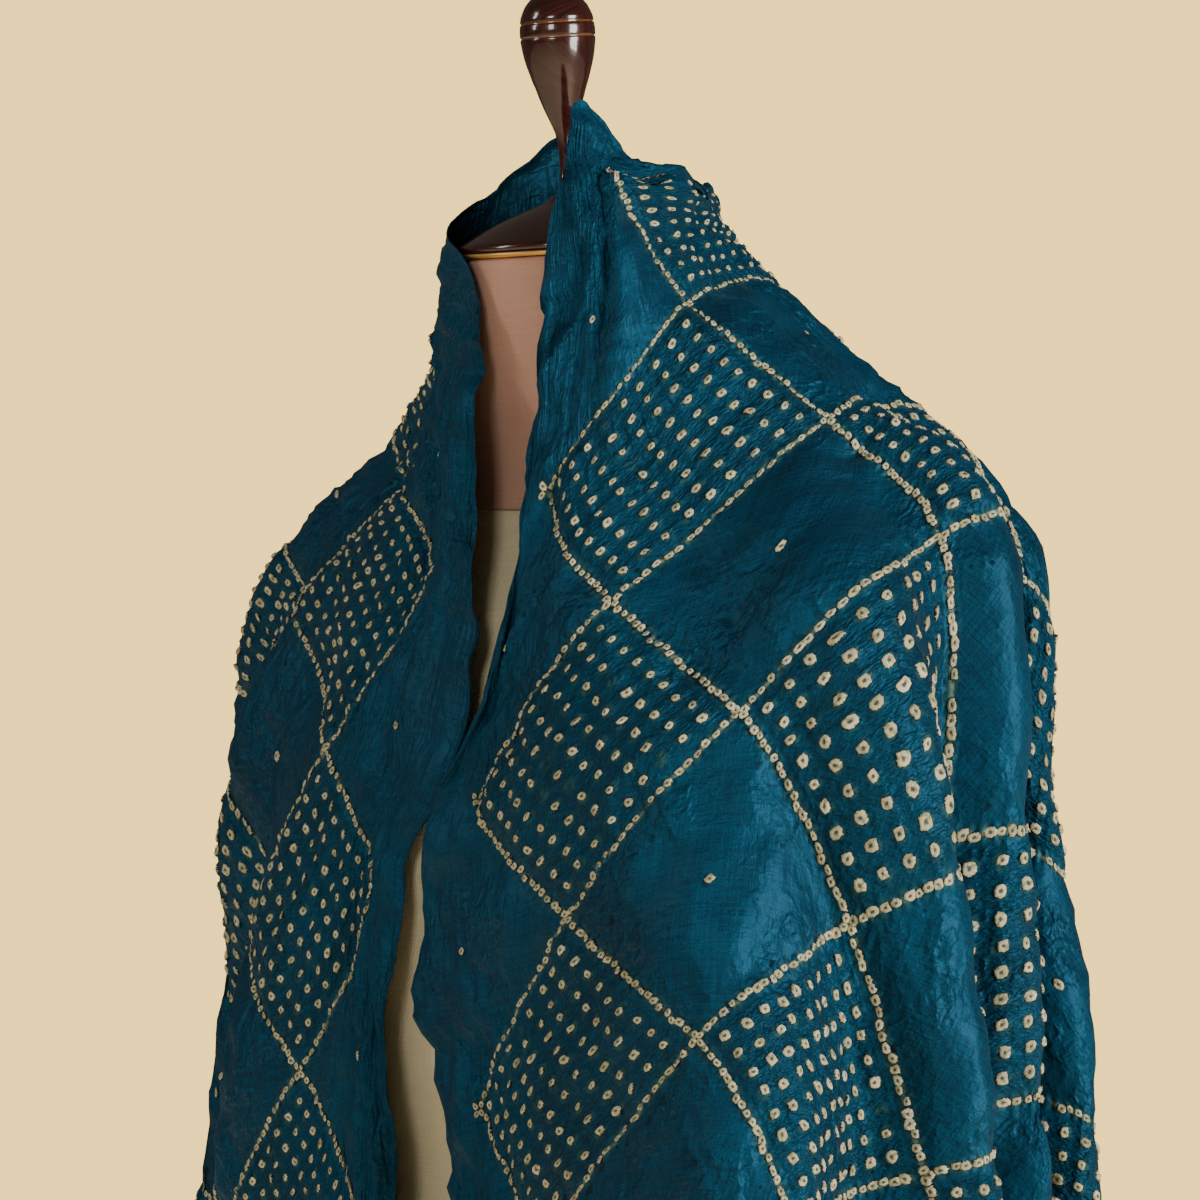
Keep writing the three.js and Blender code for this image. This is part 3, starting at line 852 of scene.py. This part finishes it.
def makeWeave(name, light, dark, thread, relief):
    # Plain weave: threads that pass over and under, thick and thin.
    finish = Finish(name, Roughness=0.85, Specular_IOR_Level=0.25, Sheen_Weight=0.1)
    x, y = finish.value("flat", 0), finish.value("flat", 1)
    turnX = (x * (math.pi / thread)).math("SINE")
    turnY = (y * (math.pi / thread)).math("SINE")
    over = turnX * turnY
    slubs = finish.noise(x / 0.8, y / 26, detail=2.0) + finish.noise(x / 26, y / 0.8, detail=2.0)
    tint = slubs - 0.6 + finish.noise(x / 60, y / 60) * 0.3
    finish.feed("Base Color", finish.mix(tint, dark, light))
    finish.bump(over * 0.3 + slubs * 0.5, relief)
    return finish.material


def flatLevel(height):
    return lambda angle: np.full(len(angle), float(height))


print("stage: covering the form")
torso = makeCover(
    "torso_cover",
    flatLevel(form["bottom"]),
    lambda angle: whereMeets(angle, neckLineHeight, form["neckLineFront"]),
    cover["torsoRings"],
    makeWeave("creamLinen", cover["cream"], cover["creamDark"], cover["linenThread"],
              cover["linenRelief"]),
)
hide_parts("form_torso")
neck = makeCover(
    "neck_cover",
    lambda angle: whereMeets(angle, neckLineHeight, form["neckLineFront"]) + form["gap"],
    lambda angle: whereMeets(angle, neckEnd, form["neckTop"]),
    cover["neckRings"],
    makeWeave("tanJersey", cover["tan"], cover["tanDark"], cover["jerseyThread"],
              cover["jerseyRelief"]),
)
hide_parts("form_neck")

turning = {
    "sides": 96,
    "rimFoot": 0.3,
    "capFoot": 3.1,
    "finialFoot": 27.9,
    "rim": [(0, 0), (54.2, 0), (54.8, 0.35), (55, 1), (55, 1.5), (54.8, 2.15), (54.2, 2.5),
            (0, 2.5)],
    "cap": [(0, 0), (53.4, 0), (54.6, 0.5), (55, 1.6), (54.6, 2.8), (53, 4), (50, 5.6),
            (43.5, 9), (36, 12.5), (30, 15), (22, 18), (16, 19.9), (12, 21.3), (9.4, 22.8),
            (8, 24.5), (0, 24.5)],
    "finial": [(0, 0), (5.5, 0), (5, 1.6), (4.1, 4), (3.6, 6), (3.2, 10), (3, 14), (3, 17.5),
               (3.1, 21), (3.5, 25), (4.2, 29), (5.3, 32), (6.5, 35), (9, 41), (10.6, 45.5),
               (12, 50), (13.3, 53.5), (14.4, 57), (15.5, 60.5), (16.4, 64), (17.1, 67.5),
               (17.6, 71), (17.8, 73), (17.7, 73.5), (17.1, 74), (17.7, 74.5), (17.9, 75),
               (17.9, 77.5), (17.7, 79.5), (17.5, 80.2), (16.9, 80.8), (17.5, 81.5),
               (17.1, 83.8), (16.2, 86), (15, 88.6), (13.2, 91), (11.1, 93.2), (8.5, 95),
               (6.4, 96), (4, 96.7), (2, 96.95), (0, 97)],
    "grooves": [74, 80.8],
    "base": [(0, 0), (184, 0), (187.5, 1), (189.5, 3), (190, 5), (190, 14), (189, 16.2),
             (186, 17.8), (181, 19), (176, 19.8), (170, 21.4), (164, 23), (120, 25.2),
             (60, 28), (46, 28.6), (34, 30), (29, 31.8), (26, 34), (0, 34)],
    "pole": [(0, 34.3), (14, 34.3), (14, 719.7), (0, 719.7)],
}


def makeTurned(name, profile, finish, foot=0.0, leaning=False):
    # Wood or brass turned on its own axis, and set on the sloping neck.
    sides = turning["sides"]
    rings = profile[1:-1]
    angle = np.arange(sides) * 2 * math.pi / sides
    points, facts = [], []
    for r, z in rings:
        points.append(np.stack([r * np.cos(angle), r * np.sin(angle), np.full(sides, z)], 1))
        facts.append(np.stack([r * angle, np.full(sides, z), np.full(sides, r)], 1))
    points, facts = np.concatenate(points), np.concatenate(facts)
    points[:, 2] += foot
    if leaning:
        lean = math.radians(form["lean"])
        y = points[:, 1] * math.cos(lean) - points[:, 2] * math.sin(lean)
        z = points[:, 1] * math.sin(lean) + points[:, 2] * math.cos(lean)
        points[:, 1], points[:, 2] = y + form["neckCentre"], z + form["neckTop"]
    ids = np.arange(len(rings) * sides).reshape(len(rings), sides)
    a, b = ids[:-1], ids[1:]
    quads = np.stack([a, np.roll(a, -1, 1), np.roll(b, -1, 1), b], 2).reshape(-1, 4).tolist()
    ends = [ids[0][::-1].tolist(), ids[-1].tolist()]
    return makePiece(name, points, quads + ends, finish, {"turned": facts})


wood = {
    "dark": (0.02, 0.004, 0.0035),
    "light": (0.055, 0.0115, 0.009),
    "gilt": (0.16, 0.06, 0.015),
    "roughness": 0.22,
}


def makeWood(name, grooves=()):
    finish = Finish(name, Coat_Roughness=0.06, Coat_IOR=1.5, Specular_IOR_Level=0.5)
    x, y = finish.value("turned", 0), finish.value("turned", 1)
    grain = finish.noise(x / 2.2, y / 34, detail=4.0, roughness=0.6)
    colour = finish.mix(grain.stepped(0.35, 0.68), wood["dark"], wood["light"])
    for height in grooves:
        line = 1 - abs(y - height).stepped(0.25, 0.6)
        colour = finish.mix(line, colour, wood["gilt"])
    finish.feed("Base Color", colour)
    finish.feed("Roughness", grain * 0.1 + (wood["roughness"] - 0.05))
    wear = finish.noise(x / 9, y / 9, detail=3.0)
    finish.feed("Coat Weight", wear.stepped(0.1, 0.4))
    finish.bump(grain * 0.05 + wear * 0.05, 0.5)
    return finish.material


brass = {
    "dull": (0.6, 0.33, 0.09),
    "bright": (0.85, 0.52, 0.17),
    "roughness": 0.36,
}


def makeBrass():
    finish = Finish("rimBrass", Metallic=1.0)
    x, y = finish.value("turned", 0), finish.value("turned", 1)
    streak = finish.noise(x / 14, y / 0.7, detail=3.0)
    colour = finish.mix(streak.stepped(0.3, 0.7), brass["dull"], brass["bright"])
    finish.feed("Base Color", colour)
    finish.feed("Roughness", streak * 0.2 + brass["roughness"])
    return finish.material


print("stage: turning the head and the stand")
darkWood = makeWood("glossWood")
turnedPieces = [
    ("rim_band", "rim", "neck_rim", "rim", makeBrass(), turning["rimFoot"], True),
    ("turned_cap", "cap", "neck_cap", "wood", darkWood, turning["capFoot"], True),
    ("turned_finial", "finial", "finial", "wood", makeWood("grooveWood", turning["grooves"]),
     turning["finialFoot"], True),
    ("stand_pole", "pole", "pole", "wood", darkWood, 0.0, False),
    ("stand_base", "base", "base", "wood", darkWood, 0.0, False),
]
for name, profile, node, slotName, finish, foot, leaning in turnedPieces:
    piece = makeTurned(name, turning[profile], finish, foot, leaning)
    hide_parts(node)

studio = {
    "wall": (2.39, 1.6, 0.44),
    "ambientColour": (1.0, 0.88, 0.72),
    "ambient": 0.07,
    "floorRadius": 6.5,
    "floorDark": (0.6, 0.5, 0.36),
    "floorLight": (0.68, 0.58, 0.42),
    "lightsAimAt": 1.25,  # height in metres
    # Azimuth, elevation, distance, size, power and colour of each soft panel.
    "panels": {
        "sideLight": (92, 7, 2.8, (1.1, 1.7), 100, (1.0, 0.96, 0.9)),
        "frontLight": (23, 16, 2.9, (0.7, 0.9), 22, (1.0, 0.95, 0.88)),
        "stripLight": (-32, 24, 2.8, (0.4, 1.4), 18, (1.0, 0.96, 0.9)),
        "backLight": (172, 3, 2.8, (1.2, 1.6), 24, (1.0, 0.96, 0.9)),
        "farLight": (236, 3, 2.8, (1.2, 1.6), 24, (1.0, 0.96, 0.9)),
        "floorLight": (0, 89.9, 2.0, (11, 11), 360, (1.0, 0.96, 0.9)),
    },
    "notInGloss": ["backLight", "farLight", "floorLight"],
}

print("stage: lighting the studio")
world = bpy.data.worlds.new("studioWorld")
world.use_nodes = True
bpy.context.scene.world = world
tree = world.node_tree
tree.nodes.clear()
wall = tree.nodes.new("ShaderNodeBackground")
wall.inputs["Color"].default_value = (*studio["wall"], 1)
dim = tree.nodes.new("ShaderNodeBackground")
dim.inputs["Color"].default_value = (*studio["ambientColour"], 1)
dim.inputs["Strength"].default_value = studio["ambient"]
seen = tree.nodes.new("ShaderNodeLightPath")
choice = tree.nodes.new("ShaderNodeMixShader")
worldOut = tree.nodes.new("ShaderNodeOutputWorld")
tree.links.new(seen.outputs["Is Camera Ray"], choice.inputs[0])
tree.links.new(dim.outputs[0], choice.inputs[1])
tree.links.new(wall.outputs[0], choice.inputs[2])
tree.links.new(choice.outputs[0], worldOut.inputs[0])

bpy.ops.mesh.primitive_circle_add(vertices=96, radius=studio["floorRadius"], fill_type="NGON")
floor = bpy.context.object
floor.name = "floor"
floorFinish = Finish("paleFloor", Roughness=0.9)
floorSpot = floorFinish.add("TexCoord", out="Object")
floorCloud = floorFinish.add("TexNoise", None, {"Vector": floorSpot, "Scale": 1.5})
floorColour = floorFinish.mix(floorCloud, studio["floorDark"], studio["floorLight"])
floorFinish.feed("Base Color", floorColour)
floor.data.materials.append(floorFinish.material)


def addLight(name, azimuth, elevation, distance, size, power, colour):
    # A soft panel that faces the shoulders, and that the camera doesn't see.
    a, e = math.radians(azimuth), math.radians(elevation)
    light = bpy.data.lights.new(name, "AREA")
    light.shape = "RECTANGLE"
    light.size, light.size_y = size
    light.energy, light.color = power, colour
    lamp = bpy.data.objects.new(name, light)
    way = Vector((math.sin(a) * math.cos(e), -math.cos(a) * math.cos(e), math.sin(e)))
    lamp.location = Vector((0, 0, studio["lightsAimAt"])) + way * distance
    lamp.rotation_mode = "QUATERNION"
    lamp.rotation_quaternion = (-way).to_track_quat("-Z", "Y")
    lamp.visible_camera = False
    lamp.visible_glossy = name not in studio["notInGloss"]
    bpy.context.scene.collection.objects.link(lamp)
    return lamp


lamps = {name: addLight(name, *panel) for name, panel in studio["panels"].items()}
floorOnly = bpy.data.collections.new("floorOnly")  # what the panel overhead lights
floorOnly.objects.link(floor)
lamps["floorLight"].light_linking.receiver_collection = floorOnly
